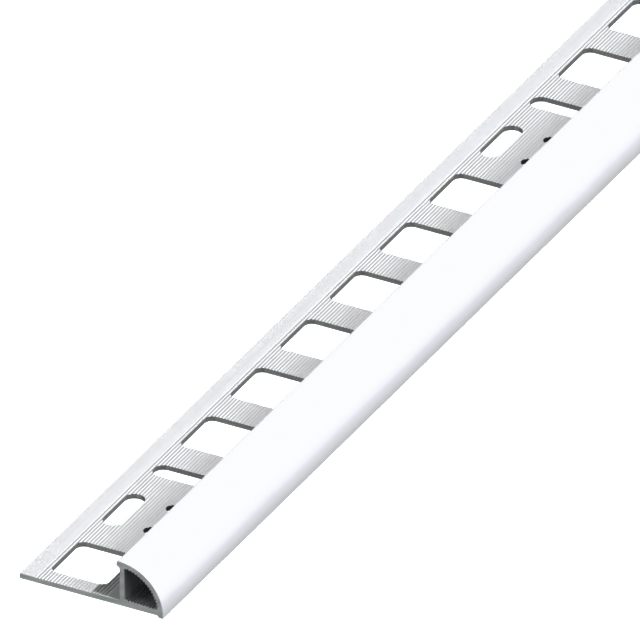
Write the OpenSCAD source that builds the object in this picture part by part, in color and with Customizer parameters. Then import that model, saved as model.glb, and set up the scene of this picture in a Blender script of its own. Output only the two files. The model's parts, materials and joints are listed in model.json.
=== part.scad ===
// Tile edge trim with a quarter-round face, extruded in one piece and punched.
// A thin anchoring leg lies under the tile, a web with a small lip meets the tile's edge,
// and a hollow quarter-round nose finishes it, with a toe along its outer foot.
// X runs across the trim from the leg to the face, Y along its length and Z up.
// The origin is on the surface it lies on, under the middle of its outer box.

/* [Stock] */
// Length of the bar
trim_length = 1000; // [300:10:3000]
// Height from the leg's underside to the top of the face, and the radius of the face
trim_height = 10; // [8:0.5:15]

/* [Anchoring leg] */
// Width of the leg, from its free edge to the web
leg_width = 22.3; // [20:0.1:40]
// Thickness of the leg
leg_thickness = 1.1; // [0.8:0.1:1.6]

/* [Nose] */
// Thickness of the upright web
web_thickness = 1.0; // [0.8:0.1:1.6]
// Thickness of the curved face
face_thickness = 1.2; // [0.8:0.1:1.8]
// Thickness of the floor under the hollow
floor_thickness = 1.3; // [0.8:0.1:1.8]
// Reach of the lip past the web, over the tile's edge
lip_overhang = 0.7; // [0.4:0.1:1.2]
// Flat strip on top of the lip, before the face starts to curve
lip_flat = 0.4; // [0.4:0.1:1]
// Thickness of the lip at its edge
lip_thickness = 1.1; // [0.8:0.1:1.6]
// Rounding of the lip's upper edge
lip_rounding = 0.25; // [0.1:0.05:0.35]
// Drop of the toe below the leg's underside
toe_drop = 0.5; // [0.2:0.1:1]
// Width of the toe's tip
toe_width = 0.85; // [0.5:0.05:1.2]

/* [Punching] */
// Strip left whole along the leg's free edge
edge_strip = 4.6; // [3:0.1:8]
// Bridge of leg between one opening and the next
bridge = 8; // [4:0.5:15]
// Leg left whole before the first opening
first_land = 3.7; // [2:0.1:8]
// Width of a window across the leg
window_width = 12.6; // [8:0.1:14.5]
// Length of a window along the leg
window_length = 13; // [8:0.5:20]
// Corner radius of a window
window_corner = 1.8; // [0.5:0.1:3]
// Length of a screw slot along the leg
slot_length = 13; // [8:0.5:20]
// Width of a screw slot and of a cross slot
slot_width = 4.4; // [3:0.1:6]
// Diameter of a nail hole
nail_hole = 2.8; // [2:0.1:4]
// Distance between the two nail holes beside a screw slot
nail_spacing = 9.5; // [6:0.5:16]
// Distance from the leg's free edge to the line of nail holes
nail_line = 15.2; // [13:0.1:17]

/* [Hidden] */
$fn = 96;

// A cut reaches this far past the faces that it opens
overcut = 1;

// The section's own coordinates start at the leg's free edge, on its underside
lip_edge = leg_width - lip_overhang;
face_centre = lip_edge + lip_flat;
trim_width = face_centre + trim_height;
lip_underside = trim_height - lip_thickness;
hollow_side = leg_width + web_thickness;
hollow_radius = trim_height - face_thickness;

// The order in which the openings repeat along the leg
punch_order = ["window", "screw slot", "cross slot", "window", "window", "window", "window", "window"];

function punch_length(kind) =
    kind == "window" ? window_length :
    kind == "screw slot" ? slot_length :
    slot_width;

// Distance from the start of a repeat to the start of one of its openings
function punch_start(index) =
    index == 0 ? 0 : punch_start(index - 1) + punch_length(punch_order[index - 1]) + bridge;

punch_repeat = punch_start(len(punch_order));
repeats = ceil(trim_length / punch_repeat);

// Leg, floor, web, lip and face as one outline, still solid
module outer_outline() {
    square([lip_edge + lip_overhang, leg_thickness]);
    translate([lip_edge, 0])
        square([lip_flat, trim_height]);
    intersection() {
        translate([face_centre, 0])
            circle(r = trim_height);
        translate([face_centre, 0])
            square(trim_height);
    }
}

// The face's foot runs on below the leg, with a sloping inner side
module toe() {
    polygon([
        [trim_width - toe_width - 2 * toe_drop, toe_drop],
        [trim_width - toe_width - toe_drop, 0],
        [trim_width - toe_width, -toe_drop],
        [trim_width, -toe_drop],
        [trim_width, 0],
        [trim_width - toe_width, toe_drop]
    ]);
}

// Room for the tile's edge between the leg and the lip, with a round under the lip
module tile_recess() {
    fillet_centre = lip_underside - lip_overhang;
    translate([lip_edge - overcut, leg_thickness])
        square([lip_overhang + overcut, fillet_centre - leg_thickness]);
    translate([lip_edge, fillet_centre])
        circle(r = lip_overhang);
}

// The hollow of the nose, between the web, the floor and the curved face
module hollow() {
    intersection() {
        translate([face_centre, 0])
            circle(r = hollow_radius);
        translate([hollow_side, floor_thickness])
            square(trim_height);
    }
}

// What the rounding takes off the lip's upper edge
module lip_corner() {
    difference() {
        translate([lip_edge - overcut, trim_height - lip_rounding])
            square(lip_rounding + overcut);
        translate([lip_edge + lip_rounding, trim_height - lip_rounding])
            circle(r = lip_rounding);
        translate([lip_edge + lip_rounding, trim_height - lip_rounding])
            square(2 * overcut);
    }
}

module section() {
    difference() {
        union() {
            outer_outline();
            toe();
        }
        tile_recess();
        hollow();
        lip_corner();
    }
}

// Openings are drawn on the leg's plane, from the leg's free edge and the bar's end
module window() {
    round_x = [edge_strip + window_corner, edge_strip + window_width - window_corner];
    round_y = [window_corner, window_length - window_corner];
    translate([edge_strip, window_corner])
        square([window_width, window_length - 2 * window_corner]);
    translate([edge_strip + window_corner, 0])
        square([window_width - 2 * window_corner, window_length]);
    for (x = round_x, y = round_y)
        translate([x, y])
            circle(r = window_corner);
}

module screw_slot() {
    end_radius = slot_width / 2;
    translate([edge_strip, end_radius])
        square([slot_width, slot_length - slot_width]);
    for (y = [end_radius, slot_length - end_radius])
        translate([edge_strip + end_radius, y])
            circle(r = end_radius);
    for (side = [-1, 1])
        translate([nail_line, slot_length / 2 + side * nail_spacing / 2])
            circle(d = nail_hole);
}

module cross_slot() {
    end_radius = slot_width / 2;
    translate([edge_strip + end_radius, 0])
        square([window_width - slot_width, slot_width]);
    for (x = [edge_strip + end_radius, edge_strip + window_width - end_radius])
        translate([x, end_radius])
            circle(r = end_radius);
}

module opening(kind) {
    if (kind == "window") window();
    if (kind == "screw slot") screw_slot();
    if (kind == "cross slot") cross_slot();
}

// Every opening of the repeating pattern that ends inside the bar
module punching() {
    for (repeat = [0 : repeats], index = [0 : len(punch_order) - 1]) {
        kind = punch_order[index];
        start = first_land + repeat * punch_repeat + punch_start(index);
        if (start + punch_length(kind) + first_land <= trim_length)
            translate([0, start])
                opening(kind);
    }
}

module edge_trim() {
    color("whitesmoke")
        translate([-trim_width / 2, -trim_length / 2, toe_drop])
            difference() {
                translate([0, trim_length, 0])
                    rotate([90, 0, 0])
                        linear_extrude(trim_length)
                            section();
                translate([0, 0, -overcut])
                    linear_extrude(leg_thickness + 2 * overcut)
                        punching();
            }
}

edge_trim();
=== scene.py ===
# Tile edge trim: a punched, ribbed aluminium bar with a hollow quarter-round nose coated white.
# The bar is modelled in millimetres and scaled to metres once, when its shape is finished.
# On the section X runs from the leg's free edge, Y from the near end and Z from the leg's underside.
import json
import math

import bmesh
import bpy
from mathutils import Matrix, Vector


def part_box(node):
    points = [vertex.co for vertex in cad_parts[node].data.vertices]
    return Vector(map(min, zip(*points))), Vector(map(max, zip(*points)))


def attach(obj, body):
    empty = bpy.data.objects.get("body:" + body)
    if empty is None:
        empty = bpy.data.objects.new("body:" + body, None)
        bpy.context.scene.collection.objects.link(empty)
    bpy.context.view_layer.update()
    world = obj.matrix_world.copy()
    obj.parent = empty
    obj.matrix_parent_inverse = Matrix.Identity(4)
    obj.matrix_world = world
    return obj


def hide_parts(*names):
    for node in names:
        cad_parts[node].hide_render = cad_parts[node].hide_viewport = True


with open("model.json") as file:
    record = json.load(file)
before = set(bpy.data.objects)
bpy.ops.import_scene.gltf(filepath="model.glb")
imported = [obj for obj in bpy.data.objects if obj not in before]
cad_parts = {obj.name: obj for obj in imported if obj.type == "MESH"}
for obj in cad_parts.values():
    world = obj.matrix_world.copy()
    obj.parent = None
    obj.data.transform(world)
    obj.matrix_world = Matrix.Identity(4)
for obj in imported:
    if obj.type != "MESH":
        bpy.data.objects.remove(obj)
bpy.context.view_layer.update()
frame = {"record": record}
bar_low, bar_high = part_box("edge_trim")
mounts = {mount["name"]: mount for mount in frame["record"]["mounts"]}

MM = 0.001


def mount_place(name):
    """A mount's place in millimetres from the low corner of the bar's box."""
    return (Vector(mounts[name]["pos_m"]) - bar_low) / MM


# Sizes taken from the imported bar's box and mounts
screw_slot = mounts["screw_slots_near"]["dims"]
nail_pair = mounts["nail_holes_near"]["dims"]
toe_drop = mount_place("leg_underside").z
bar_width = (bar_high.x - bar_low.x) / MM
bar_length = (bar_high.y - bar_low.y) / MM
face_radius = (bar_high.z - bar_low.z) / MM - toe_drop
leg_width = mount_place("tile_stop").x
leg_thickness = mount_place("screw_slots_near").z - toe_drop
slot_width = 2 * screw_slot["hole_r_mm"]
slot_length = screw_slot["slot_length_mm"]
nail_hole = 2 * nail_pair["hole_r_mm"]
nail_spacing = nail_pair["spacing_y_mm"]
nail_line = mount_place("nail_holes_near").x
edge_strip = mount_place("screw_slots_near").x - slot_width / 2

# Other sizes of the section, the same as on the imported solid
web_thickness = 1.0
face_thickness = 1.2
floor_thickness = 1.3
lip_overhang = 0.7
lip_flat = 0.4
lip_thickness = 1.1
toe_width = 0.85
lip_edge = leg_width - lip_overhang
face_centre = lip_edge + lip_flat
lip_underside = face_radius - lip_thickness
hollow_side = leg_width + web_thickness
hollow_radius = face_radius - face_thickness

# Other sizes of the punching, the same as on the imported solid
bridge = 8.0
first_land = 3.7
window_width = 12.6
window_length = 13.0
window_corner = 1.8
windows_after_cross_slot = 5
# A punch reaches this far past the leg on both sides
punch_overcut = 1.0

# Roundings: the lip's is a little softer than on the solid, which has none on its fine edges
lip_rounding = 0.38
edge_rounding = 0.12

# Fine ribs, which the solid lacks: those near the web lie in its shade and get painted shade of their own
rib_pitch = 0.694
rib_steps = 8
leg_rib_depth = 0.1
leg_rib_power = 2
leg_ribs_start = 3.42
leg_ribs_end = 19.4
ribs_before_shade = 18
shade_start = leg_ribs_start + ribs_before_shade * rib_pitch
hollow_rib_depth = 0.32
hollow_rib_power = 4

# Thickness of the coat, and the places on the leg between which the painted shade on its grooves fades
coat_thickness = 0.12
painted_shade_start = 6.0
painted_shade_end = 14.0

# Steps of the round stretches
edge_steps = 4
fillet_steps = 10
lip_steps = 6
face_steps = 60
window_corner_steps = 8
slot_end_steps = 12
nail_hole_steps = 8
# Points this close are one point
merge_distance = 0.001
# A place this close to a surface counts as lying on it
margin = 0.02

# Light that the picture shows as pure white: the floor and the backdrop have it, and the bar stays below
white_light = 1.3

# Places in the bar's list of materials
# Four of these places hold metal darkened as painted shade: groove sides on the leg, the flat beside the
# web and the hollow
COATED, BARE, SHADED_RISE, SHADED_FALL, SHADED_FLAT, SHADED_HOLLOW, SAWN = range(7)
# Places in a punch's list of materials
ACROSS, ALONG, CORNER = range(3)


def bar_point(x, y, z):
    """A point of the bar in millimetres of the shared frame."""
    return Vector((bar_low.x / MM + x, bar_low.y / MM + y, bar_low.z / MM + z + toe_drop))


def select_only(*pieces):
    """Selects these pieces alone and makes the first one active."""
    bpy.ops.object.select_all(action="DESELECT")
    for piece in pieces:
        piece.select_set(True)
    bpy.context.view_layer.objects.active = pieces[0]


class Pen:
    """Draws an outline of the section in edit mode, by extruding and spinning its last vertex."""

    def __init__(self, x, z):
        self.x = x
        self.z = z
        bpy.ops.mesh.primitive_plane_add(size=1, location=bar_point(x, 0, z))
        bpy.ops.mesh.merge(type="CENTER")

    def line(self, x, z):
        """Goes straight on to a place."""
        step = bar_point(x, 0, z) - bar_point(self.x, 0, self.z)
        bpy.ops.mesh.extrude_vertices_move(TRANSFORM_OT_translate={"value": step})
        self.x = x
        self.z = z

    def arc(self, centre_x, centre_z, turn, steps):
        """Turns round a centre, from X towards Z where the turn in degrees is positive."""
        centre = bar_point(centre_x, 0, centre_z)
        angle = math.radians(turn)
        bpy.ops.mesh.spin(steps=steps, angle=angle, center=centre, axis=(0, 1, 0))
        arm_x = self.x - centre_x
        arm_z = self.z - centre_z
        self.x = centre_x + arm_x * math.cos(angle) - arm_z * math.sin(angle)
        self.z = centre_z + arm_x * math.sin(angle) + arm_z * math.cos(angle)


def on_leg(along, depth):
    """X and Z of a place on the leg's top, some depth below it."""
    return along, leg_thickness - depth


def on_hollow_floor(along, depth):
    """X and Z of a place on the hollow's floor, some depth below it."""
    return along, floor_thickness - depth


def under_face(along, depth):
    """X and Z of a place on the face's inner side, by its distance along the round from the foot."""
    angle = along / hollow_radius
    radius = hollow_radius + depth
    return face_centre + radius * math.cos(angle), radius * math.sin(angle)


def draw_ribs(pen, place, start, end, groove_depth, power):
    """A row of round-bottomed grooves along a surface: the higher the power, the narrower they are."""
    pen.line(*place(start, 0))
    for rib in range(int((end - start) / rib_pitch)):
        for step in range(1, rib_steps + 1):
            share = step / rib_steps
            depth = groove_depth * math.sin(math.pi * share) ** power
            pen.line(*place(start + (rib + share) * rib_pitch, depth))


def draw_outer_outline():
    """Leg, web, lip, face, toe and underside, once round from the leg's free edge."""
    fillet_centre = lip_underside - lip_overhang
    pen = Pen(0, edge_rounding)
    pen.line(0, leg_thickness - edge_rounding)
    pen.arc(edge_rounding, leg_thickness - edge_rounding, -90, edge_steps)
    draw_ribs(pen, on_leg, leg_ribs_start, leg_ribs_end, leg_rib_depth, leg_rib_power)
    pen.line(leg_width, leg_thickness)
    pen.line(leg_width, fillet_centre)
    pen.arc(lip_edge, fillet_centre, 90, fillet_steps)
    pen.line(lip_edge, face_radius - lip_rounding)
    pen.arc(lip_edge + lip_rounding, face_radius - lip_rounding, -90, lip_steps)
    pen.line(face_centre, face_radius)
    pen.arc(face_centre, 0, -90, face_steps)
    pen.line(bar_width, edge_rounding - toe_drop)
    pen.arc(bar_width - edge_rounding, edge_rounding - toe_drop, -90, edge_steps)
    pen.line(bar_width - toe_width, -toe_drop)
    pen.line(bar_width - toe_width - toe_drop, 0)
    pen.line(edge_rounding, 0)
    pen.arc(edge_rounding, edge_rounding, -90, edge_steps)


def draw_hollow_outline():
    """Ribbed floor, ribbed inner side of the face and plain web, once round the hollow."""
    foot_angle = math.asin(floor_thickness / hollow_radius)
    top_angle = math.acos((hollow_side - face_centre) / hollow_radius)
    foot = foot_angle * hollow_radius
    top = top_angle * hollow_radius
    corner = face_centre + hollow_radius * math.cos(foot_angle)
    land = rib_pitch / 2
    pen = Pen(hollow_side, floor_thickness)
    draw_ribs(pen, on_hollow_floor, hollow_side + land, corner - land, hollow_rib_depth, hollow_rib_power)
    pen.line(corner, floor_thickness)
    draw_ribs(pen, under_face, foot + land, top - land, hollow_rib_depth, hollow_rib_power)
    pen.line(hollow_side, hollow_radius * math.sin(top_angle))
    pen.line(hollow_side, floor_thickness)


def is_coated(x, z):
    """Tells whether a place on the section's outline lies under the white coat."""
    on_face = x > face_centre - margin and math.hypot(x - face_centre, z) > face_radius - margin
    on_lip = lip_edge - margin < x < face_centre + margin and z > lip_underside + margin
    on_toe = x > bar_width - edge_rounding - margin and z < margin
    return on_face or on_lip or on_toe


def is_in_hollow(x, z):
    """Tells whether a place on the section's outline lies in the hollow of the nose."""
    above_floor = z > floor_thickness - hollow_rib_depth - margin
    inside_face = math.hypot(x - face_centre, z) < hollow_radius + hollow_rib_depth + margin
    return x > hollow_side - margin and above_floor and inside_face


def leg_material(x, z):
    """The material of a bare place: plain metal, but for painted shade on the leg's top.

    Painted shade lies on the grooves' sides that face the free edge, on those that face the web
    where they lie in its shade, and on the flat beside the web.
    """
    on_top = abs(z - leg_thickness) < leg_rib_depth + margin
    if not on_top or x < leg_ribs_start or x > leg_width - margin:
        return BARE
    if x > leg_ribs_end:
        return SHADED_FLAT
    faces_free_edge = (x - leg_ribs_start) / rib_pitch % 1 > 0.5
    if x < shade_start:
        return SHADED_RISE if faces_free_edge else BARE
    return BARE if faces_free_edge else SHADED_FALL


def tell_surfaces(bar):
    """Gives each face of the whole bar the place of its finish in the list of materials."""
    origin = bar_point(0, 0, 0)
    for face in bar.data.polygons:
        place = face.center - origin
        is_an_end = abs(face.normal.y) > 0.5
        if is_an_end:
            face.material_index = SAWN
        elif is_coated(place.x, place.z):
            face.material_index = COATED
        elif is_in_hollow(place.x, place.z):
            face.material_index = SHADED_HOLLOW
        else:
            face.material_index = leg_material(place.x, place.z)


def extrude_bar():
    """The whole bar before punching, with the kinds of surface told apart."""
    bpy.ops.object.select_all(action="DESELECT")
    bpy.ops.mesh.primitive_plane_add(size=1, location=(0, 0, 0))
    bar = bpy.context.object
    bar.name = "edge_trim_bar"
    bpy.ops.object.mode_set(mode="EDIT")
    bpy.ops.mesh.delete(type="VERT")
    bpy.ops.mesh.select_mode(type="VERT")
    draw_outer_outline()
    draw_hollow_outline()
    bpy.ops.mesh.select_all(action="SELECT")
    bpy.ops.mesh.remove_doubles(threshold=merge_distance)
    bpy.ops.mesh.fill()
    bpy.ops.mesh.select_all(action="SELECT")
    bpy.ops.mesh.extrude_region_move(TRANSFORM_OT_translate={"value": (0, bar_length, 0)})
    bpy.ops.mesh.select_all(action="SELECT")
    bpy.ops.mesh.normals_make_consistent(inside=False)
    bpy.ops.object.mode_set(mode="OBJECT")
    tell_surfaces(bar)
    return bar


def tell_walls(punch):
    """Tells a punch's walls across the bar, along it and at its corners apart."""
    # A wall whose normal leans more than this both ways belongs to a corner
    corner_lean = 0.25
    for face in punch.data.polygons:
        if abs(face.normal.x) < corner_lean:
            face.material_index = ACROSS
        elif abs(face.normal.y) < corner_lean:
            face.material_index = ALONG
        else:
            face.material_index = CORNER


def make_punch(x, y, width, length, corner, corner_steps, walls):
    """A punch with rounded upright edges, as long as the leg is thick and a little more."""
    middle = bar_point(x + width / 2, y + length / 2, leg_thickness / 2)
    height = leg_thickness + 2 * punch_overcut
    bpy.ops.object.select_all(action="DESELECT")
    bpy.ops.mesh.primitive_cube_add(size=1, location=middle, scale=(width, length, height))
    punch = bpy.context.object
    for wall in walls:
        punch.data.materials.append(wall)
    bpy.ops.object.transform_apply(location=True, rotation=True, scale=True)
    bpy.ops.object.mode_set(mode="EDIT")
    bpy.ops.mesh.select_mode(type="EDGE")
    bpy.ops.mesh.select_all(action="DESELECT")
    shape = bmesh.from_edit_mesh(punch.data)
    for edge in shape.edges:
        upright = abs(edge.verts[0].co.z - edge.verts[1].co.z) > height / 2
        edge.select_set(upright)
    bmesh.update_edit_mesh(punch.data)
    bpy.ops.mesh.bevel(offset=corner, segments=corner_steps, affect="EDGES", clamp_overlap=False)
    bpy.ops.mesh.select_all(action="SELECT")
    bpy.ops.mesh.remove_doubles(threshold=merge_distance)
    bpy.ops.mesh.normals_make_consistent(inside=False)
    bpy.ops.object.mode_set(mode="OBJECT")
    tell_walls(punch)
    return punch


def copy_along(piece, distance):
    """A copy with its own mesh, further along the bar."""
    select_only(piece)
    bpy.ops.object.duplicate(linked=False)
    copy = bpy.context.object
    copy.location.y += distance
    bpy.ops.object.transform_apply(location=True, rotation=False, scale=False)
    return copy


def make_punching():
    """The punches of every opening: one repeat of the pattern, then an array along the bar."""
    slot_end = slot_width / 2
    nail_radius = nail_hole / 2
    slot_start = first_land + window_length + bridge
    cross_start = slot_start + slot_length + bridge
    windows_start = cross_start + slot_width + bridge
    window_step = window_length + bridge
    pattern_length = windows_start + windows_after_cross_slot * window_step - first_land
    nail_x = nail_line - nail_radius
    nail_y = slot_start + slot_length / 2 - nail_spacing / 2 - nail_radius

    # Painted shade: the walls along the bar are darker than those across it and the corners are darkest,
    # against the stronger light that falls on them
    walls = [
        sheared_aluminium("sheared_aluminium_across", "#AEB1AF", "#C0C3C1"),
        sheared_aluminium("sheared_aluminium_along", "#A2A5A3", "#B2B5B3"),
        sheared_aluminium("sheared_aluminium_corner", "#929593", "#A1A4A2"),
    ]
    # Painted shade: the nail holes' walls are dark grey, for the shade in the small holes
    shade_painted_nail_walls = 3 * [sheared_aluminium("sheared_aluminium_oily", "#4A4C50", "#5A5C60")]

    window = make_punch(
        edge_strip, first_land, window_width, window_length, window_corner, window_corner_steps, walls)
    repeat = [window]
    for index in range(windows_after_cross_slot):
        repeat.append(copy_along(window, windows_start - first_land + index * window_step))
    repeat.append(make_punch(
        edge_strip, slot_start, slot_width, slot_length, slot_end, slot_end_steps, walls))
    repeat.append(make_punch(
        edge_strip, cross_start, window_width, slot_width, slot_end, slot_end_steps, walls))
    nail = make_punch(nail_x, nail_y, nail_hole, nail_hole, nail_radius, nail_hole_steps, shade_painted_nail_walls)
    repeat.append(nail)
    repeat.append(copy_along(nail, nail_spacing))

    select_only(*repeat)
    bpy.ops.object.join()
    array = window.modifiers.new("along the bar", "ARRAY")
    array.use_relative_offset = False
    array.use_constant_offset = True
    array.constant_offset_displace = (0, pattern_length, 0)
    array.count = math.ceil(bar_length / pattern_length)
    bpy.ops.object.modifier_apply(modifier=array.name)
    return window


def punch_bar(bar, punching):
    """Cuts the openings, and gives their walls the punches' own materials."""
    select_only(bar)
    cut = bar.modifiers.new("punching", "BOOLEAN")
    cut.operation = "DIFFERENCE"
    cut.solver = "EXACT"
    cut.material_mode = "TRANSFER"
    cut.object = punching
    bpy.ops.object.modifier_apply(modifier=cut.name)
    bpy.data.objects.remove(punching, do_unlink=True)


def finish_bar(bar):
    """Scales the bar to metres about the frame's origin, smooths its rounds and keeps its flats flat."""
    sharpest_round = math.radians(40)
    bar.scale = (MM, MM, MM)
    select_only(bar)
    bpy.ops.object.transform_apply(location=True, rotation=True, scale=True)
    bpy.ops.object.shade_smooth_by_angle(angle=sharpest_round)
    flats = bar.modifiers.new("flats", "WEIGHTED_NORMAL")
    flats.mode = "FACE_AREA"
    flats.keep_sharp = True
    bpy.ops.object.modifier_apply(modifier=flats.name)


def linear(hex_colour):
    """An sRGB hex colour as linear red, green, blue and alpha."""
    channels = [int(hex_colour[i:i + 2], 16) / 255 for i in (1, 3, 5)]
    return [c / 12.92 if c <= 0.04045 else ((c + 0.055) / 1.055) ** 2.4 for c in channels] + [1]


def add_node(tree, kind, inputs=None, **settings):
    """Adds a node with its settings; an input is a value, or another node's output to link from."""
    made = tree.nodes.new(kind)
    for name, value in settings.items():
        setattr(made, name, value)
    for key, value in (inputs or {}).items():
        if isinstance(value, bpy.types.NodeSocket):
            tree.links.new(value, made.inputs[key])
        else:
            made.inputs[key].default_value = value
    return made


def start_material(name):
    """A material and its tree, still empty."""
    material = bpy.data.materials.new(name)
    material.use_nodes = True
    material.node_tree.nodes.clear()
    return material, material.node_tree


def end_material(tree, inputs):
    """Closes a material's tree with its shader and output."""
    shader = add_node(tree, "ShaderNodeBsdfPrincipled", inputs)
    add_node(tree, "ShaderNodeOutputMaterial", {"Surface": shader.outputs["BSDF"]})


def per_mm(size):
    """Texture scale at which one cell of a pattern is this many millimetres."""
    return 1 / (size * MM)


def white_powder_coat():
    """Polyester powder coat, sprayed and baked: clean satin white with a faint orange peel."""
    cloud_size = 14
    peel_size = 1.6
    peel_height = 0.02
    material, tree = start_material("white_powder_coat_baked")
    place = add_node(tree, "ShaderNodeTexCoord").outputs["Object"]
    cloud = add_node(tree, "ShaderNodeTexNoise", {
        "Vector": place,
        "Scale": per_mm(cloud_size),
        "Detail": 2,
    })
    tint = add_node(tree, "ShaderNodeMix", {
        "Factor": cloud.outputs["Fac"],
        "A": linear("#F0F1F4"),
        "B": linear("#F5F6F9"),
    }, data_type="RGBA")
    peel = add_node(tree, "ShaderNodeTexNoise", {
        "Vector": place,
        "Scale": per_mm(peel_size),
        "Detail": 1,
    })
    bump = add_node(tree, "ShaderNodeBump", {
        "Height": peel.outputs["Fac"],
        "Strength": 0.15,
        "Distance": peel_height * MM,
    })
    end_material(tree, {
        "Base Color": tint.outputs["Result"],
        "Roughness": 0.45,
        "IOR": 1.5,
        "Normal": bump.outputs["Normal"],
    })
    return material


def extruded_aluminium(name, dark, light, painted_shade=None):
    """Mill-finish aluminium from the extrusion die: matt, with fine die lines along the bar.

    Painted shade, where given, is a grey that darkens the grooves: full at the leg's free edge, and gone
    before the nose.
    """
    # Real die lines are finer than a tenth of a millimetre, and these are drawn coarser to show
    line_width = 0.3
    line_length = 90
    line_height = 0.01
    material, tree = start_material(name)
    place = add_node(tree, "ShaderNodeTexCoord").outputs["Object"]
    along = add_node(tree, "ShaderNodeMapping", {
        "Vector": place,
        "Scale": (per_mm(line_width), per_mm(line_length), per_mm(line_width)),
    })
    lines = add_node(tree, "ShaderNodeTexNoise", {
        "Vector": along.outputs["Vector"],
        "Scale": 1,
        "Detail": 3,
    })
    tint = add_node(tree, "ShaderNodeMix", {
        "Factor": lines.outputs["Fac"],
        "A": linear(dark),
        "B": linear(light),
    }, data_type="RGBA")
    if painted_shade:
        # Painted shade on the grooves, fading out across the leg towards the nose
        across = add_node(tree, "ShaderNodeSeparateXYZ", {"Vector": place}).outputs["X"]
        unshaded = add_node(tree, "ShaderNodeMapRange", {
            "Value": across,
            "From Min": bar_low.x + painted_shade_start * MM,
            "From Max": bar_low.x + painted_shade_end * MM,
        })
        tint = add_node(tree, "ShaderNodeMix", {
            "Factor": unshaded.outputs["Result"],
            "A": linear(painted_shade),
            "B": tint.outputs["Result"],
        }, data_type="RGBA")
    rough = add_node(tree, "ShaderNodeMapRange", {
        "Value": lines.outputs["Fac"],
        "To Min": 0.5,
        "To Max": 0.6,
    })
    bump = add_node(tree, "ShaderNodeBump", {
        "Height": lines.outputs["Fac"],
        "Strength": 0.2,
        "Distance": line_height * MM,
    })
    end_material(tree, {
        "Base Color": tint.outputs["Result"],
        "Metallic": 0.12,
        "Roughness": rough.outputs["Result"],
        "Normal": bump.outputs["Normal"],
    })
    return material


def sawn_aluminium():
    """Aluminium cut by a circular saw: dull grey with curved saw marks, and the cut coat's white rim."""
    # Real saw marks are a few tenths of a millimetre apart, and these are drawn coarser to show
    mark_step = 2.827
    mark_height = 0.01
    blade_centre = Vector((40, 0, -150)) * MM
    # Distance from crest to crest of a wave texture of scale 1
    wave_length = 2 * math.pi / 20
    nose_centre = bar_point(face_centre, 0, 0) * MM
    coat_start = face_radius - coat_thickness
    coat_blur = 0.2 * coat_thickness
    material, tree = start_material("sawn_aluminium_end")
    place = add_node(tree, "ShaderNodeTexCoord").outputs["Object"]
    from_blade = add_node(tree, "ShaderNodeMapping", {"Vector": place, "Location": -blade_centre})
    marks = add_node(tree, "ShaderNodeTexWave", {
        "Vector": from_blade.outputs["Vector"],
        "Scale": wave_length * per_mm(mark_step),
        "Distortion": 0.6,
        "Detail": 2,
    }, wave_type="RINGS", rings_direction="Y")
    metal = add_node(tree, "ShaderNodeMix", {
        "Factor": marks.outputs["Fac"],
        "A": linear("#C9CFCD"),
        "B": linear("#D6DBD9"),
    }, data_type="RGBA")
    from_nose = add_node(tree, "ShaderNodeMapping", {
        "Vector": place,
        "Location": (-nose_centre.x, 0, -nose_centre.z),
        "Scale": (1, 0, 1),
    })
    # On the leg's side of the nose's centre only the height counts, so the rim runs on over the lip
    nose_side = add_node(tree, "ShaderNodeVectorMath", {
        0: from_nose.outputs["Vector"],
        1: (0, -1, -1),
    }, operation="MAXIMUM")
    reach = add_node(tree, "ShaderNodeVectorMath", {0: nose_side.outputs["Vector"]}, operation="LENGTH")
    rim = add_node(tree, "ShaderNodeMapRange", {
        "Value": reach.outputs["Value"],
        "From Min": (coat_start - coat_blur) * MM,
        "From Max": (coat_start + coat_blur) * MM,
    })
    tint = add_node(tree, "ShaderNodeMix", {
        "Factor": rim.outputs["Result"],
        "A": metal.outputs["Result"],
        "B": linear("#F4F5F8"),
    }, data_type="RGBA")
    bump = add_node(tree, "ShaderNodeBump", {
        "Height": marks.outputs["Fac"],
        "Strength": 0.2,
        "Distance": mark_height * MM,
    })
    end_material(tree, {
        "Base Color": tint.outputs["Result"],
        "Metallic": 0.25,
        "Roughness": 0.6,
        "Normal": bump.outputs["Normal"],
    })
    return material


def sheared_aluminium(name, dark, light):
    """Aluminium sheared by a punch: a dull grey wall with upright shear marks."""
    # Real shear marks are about a tenth of a millimetre apart, and these are drawn coarser to show
    mark_width = 0.35
    mark_height = 4
    material, tree = start_material(name)
    place = add_node(tree, "ShaderNodeTexCoord").outputs["Object"]
    upright = add_node(tree, "ShaderNodeMapping", {
        "Vector": place,
        "Scale": (per_mm(mark_width), per_mm(mark_width), per_mm(mark_height)),
    })
    marks = add_node(tree, "ShaderNodeTexNoise", {
        "Vector": upright.outputs["Vector"],
        "Scale": 1,
        "Detail": 2,
    })
    tint = add_node(tree, "ShaderNodeMix", {
        "Factor": marks.outputs["Fac"],
        "A": linear(dark),
        "B": linear(light),
    }, data_type="RGBA")
    end_material(tree, {
        "Base Color": tint.outputs["Result"],
        "Metallic": 0.25,
        "Roughness": 0.55,
    })
    return material


def bar_finishes():
    """The materials of the whole bar, in the order of their places in its list."""
    clean_dark = "#EEEEEF"
    clean_light = "#F3F4F5"
    return [
        white_powder_coat(),
        extruded_aluminium("extruded_aluminium", clean_dark, clean_light),
        # Painted shade on the grooves' sides that face the free edge
        extruded_aluminium("extruded_aluminium_groove", clean_dark, clean_light, painted_shade="#D0D1D3"),
        # Painted shade beside the web: grey on the grooves' sides that face the web, and lighter and a
        # little green on the flat
        extruded_aluminium("extruded_aluminium_web_groove", "#BABCBC", "#C2C4C4"),
        extruded_aluminium("extruded_aluminium_web_film", "#D4DBDA", "#DAE1E0"),
        # Painted shade: the hollow's metal is darker than the outside
        extruded_aluminium("extruded_aluminium_hollow", "#AEB0B2", "#B8BABC"),
        sawn_aluminium(),
    ]


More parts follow.
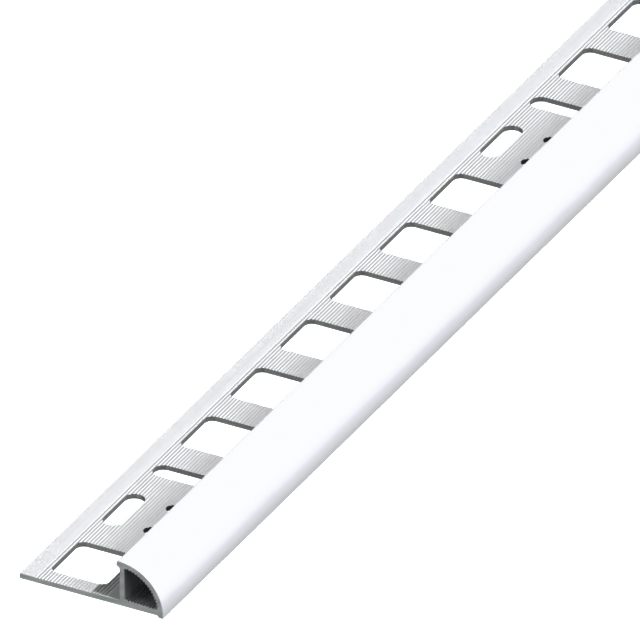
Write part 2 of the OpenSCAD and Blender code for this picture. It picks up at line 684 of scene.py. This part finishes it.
def make_trim():
    """The finished bar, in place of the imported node."""
    bar = extrude_bar()
    for finish in bar_finishes():
        bar.data.materials.append(finish)
    punch_bar(bar, make_punching())
    finish_bar(bar)
    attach(bar, "root")
    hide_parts("edge_trim")


def make_floor():
    """Plain white floor, shown evenly lit and kept from throwing light back on the bar."""
    floor_size = 30
    bpy.ops.object.select_all(action="DESELECT")
    bpy.ops.mesh.primitive_plane_add(size=floor_size, location=(0, 0, bar_low.z))
    floor = bpy.context.object
    floor.name = "floor"
    material, tree = start_material("white_floor")
    end_material(tree, {
        "Base Color": linear("#202020"),
        "Roughness": 1.0,
        "Specular IOR Level": 0.0,
        "Emission Color": linear("#FFFFFF"),
        "Emission Strength": white_light,
    })
    floor.data.materials.append(material)
    floor.visible_diffuse = False
    floor.visible_glossy = False
    floor.visible_shadow = False


def make_sun(name, azimuth, elevation, strength, spread):
    """A light from far away; azimuth 0 is the +X side of the bar and 90 its far end.

    At strength 1 it lights a white surface that faces it to a brightness of 1.
    """
    across = math.radians(azimuth)
    up = math.radians(elevation)
    towards = Vector((math.cos(across) * math.cos(up), math.sin(across) * math.cos(up), math.sin(up)))
    bpy.ops.object.light_add(type="SUN", location=towards)
    sun = bpy.context.object
    sun.name = name
    sun.rotation_euler = towards.to_track_quat("Z", "Y").to_euler()
    sun.data.energy = strength * math.pi
    sun.data.angle = math.radians(spread)


def make_lights():
    """A key and two soft boxes on the nose's side, one fill at the near end and one on the leg's side."""
    make_sun("key", azimuth=-8.8, elevation=56.7, strength=0.595, spread=2)
    make_sun("soft_box", azimuth=0, elevation=39, strength=0.35, spread=20)
    make_sun("soft_box_front", azimuth=-28, elevation=35.6, strength=0.145, spread=20)
    make_sun("front_fill", azimuth=-80, elevation=5, strength=0.25, spread=30)
    make_sun("left_fill", azimuth=-140, elevation=25, strength=0.435, spread=30)


def make_surround():
    """A dim glow from above, behind a backdrop that the camera sees as white as the floor."""
    world = bpy.data.worlds.new("studio")
    bpy.context.scene.world = world
    world.use_nodes = True
    tree = world.node_tree
    tree.nodes.clear()
    seen = add_node(tree, "ShaderNodeLightPath").outputs["Is Camera Ray"]
    direction = add_node(tree, "ShaderNodeTexCoord").outputs["Generated"]
    height = add_node(tree, "ShaderNodeSeparateXYZ", {"Vector": direction}).outputs["Z"]
    sky = add_node(tree, "ShaderNodeMapRange", {
        "Value": height,
        "From Min": -0.2,
        "From Max": 0.5,
        "To Min": 0.01,
        "To Max": 0.07,
    })
    glow = add_node(tree, "ShaderNodeBackground", {
        "Color": linear("#FFFFFF"),
        "Strength": sky.outputs["Result"],
    })
    backdrop = add_node(tree, "ShaderNodeBackground", {
        "Color": linear("#FFFFFF"),
        "Strength": white_light,
    })
    mix = add_node(tree, "ShaderNodeMixShader", {0: seen, 1: glow.outputs[0], 2: backdrop.outputs[0]})
    add_node(tree, "ShaderNodeOutputWorld", {"Surface": mix.outputs[0]})


def make_camera():
    """The photograph's viewpoint: a parallel view, down on the near end from the nose's side."""
    azimuth = math.radians(27.85)
    elevation = math.radians(31.03)
    distance = 2
    picture_size = 640
    pixels_per_mm = 5.069
    # The foot of the leg's free edge at the near end, in pixels from the picture's left and top
    corner_across = 19.7
    corner_down = 577.95
    turn = Matrix.Rotation(azimuth, 3, "Z") @ Matrix.Rotation(math.pi / 2 - elevation, 3, "X")
    right, up, back = turn.col
    corner = bar_point(0, 0, 0) * MM
    to_right = (picture_size / 2 - corner_across) / pixels_per_mm * MM
    to_top = (corner_down - picture_size / 2) / pixels_per_mm * MM
    middle = corner + to_right * right + to_top * up
    bpy.ops.object.camera_add(location=middle + distance * back, rotation=turn.to_euler())
    camera = bpy.context.object
    camera.data.type = "ORTHO"
    camera.data.ortho_scale = picture_size / pixels_per_mm * MM
    bpy.context.scene.camera = camera


def set_tones():
    """Contrasty tones: the middle ones fall, and the brightest stop just short of the backdrop's white."""
    # Pairs of the light on the bar and the tone that shows it
    lower_tones = [(0.21, 0.12), (0.62, 0.51), (0.802, 0.75)]
    # The brightest tones in red, green and blue differ a little, which leaves a trace of blue
    brightest = (0.97, 0.978, 0.998)
    bright = 0.95
    shoulder = 0.004
    view = bpy.context.scene.view_settings
    view.view_transform = "Standard"
    view.use_curve_mapping = True
    tones = view.curve_mapping
    tones.white_level = (white_light, white_light, white_light)
    tones.use_clip = False
    for channel, top in enumerate(brightest):
        upper_tones = [(0.915, (bright + top) / 2), (1.05, top - shoulder), (1.15, top)]
        for light, shown in lower_tones + upper_tones:
            tones.curves[channel].points.new(light / white_light, shown)
    tones.update()


make_trim()
make_floor()
make_lights()
make_surround()
make_camera()
set_tones()
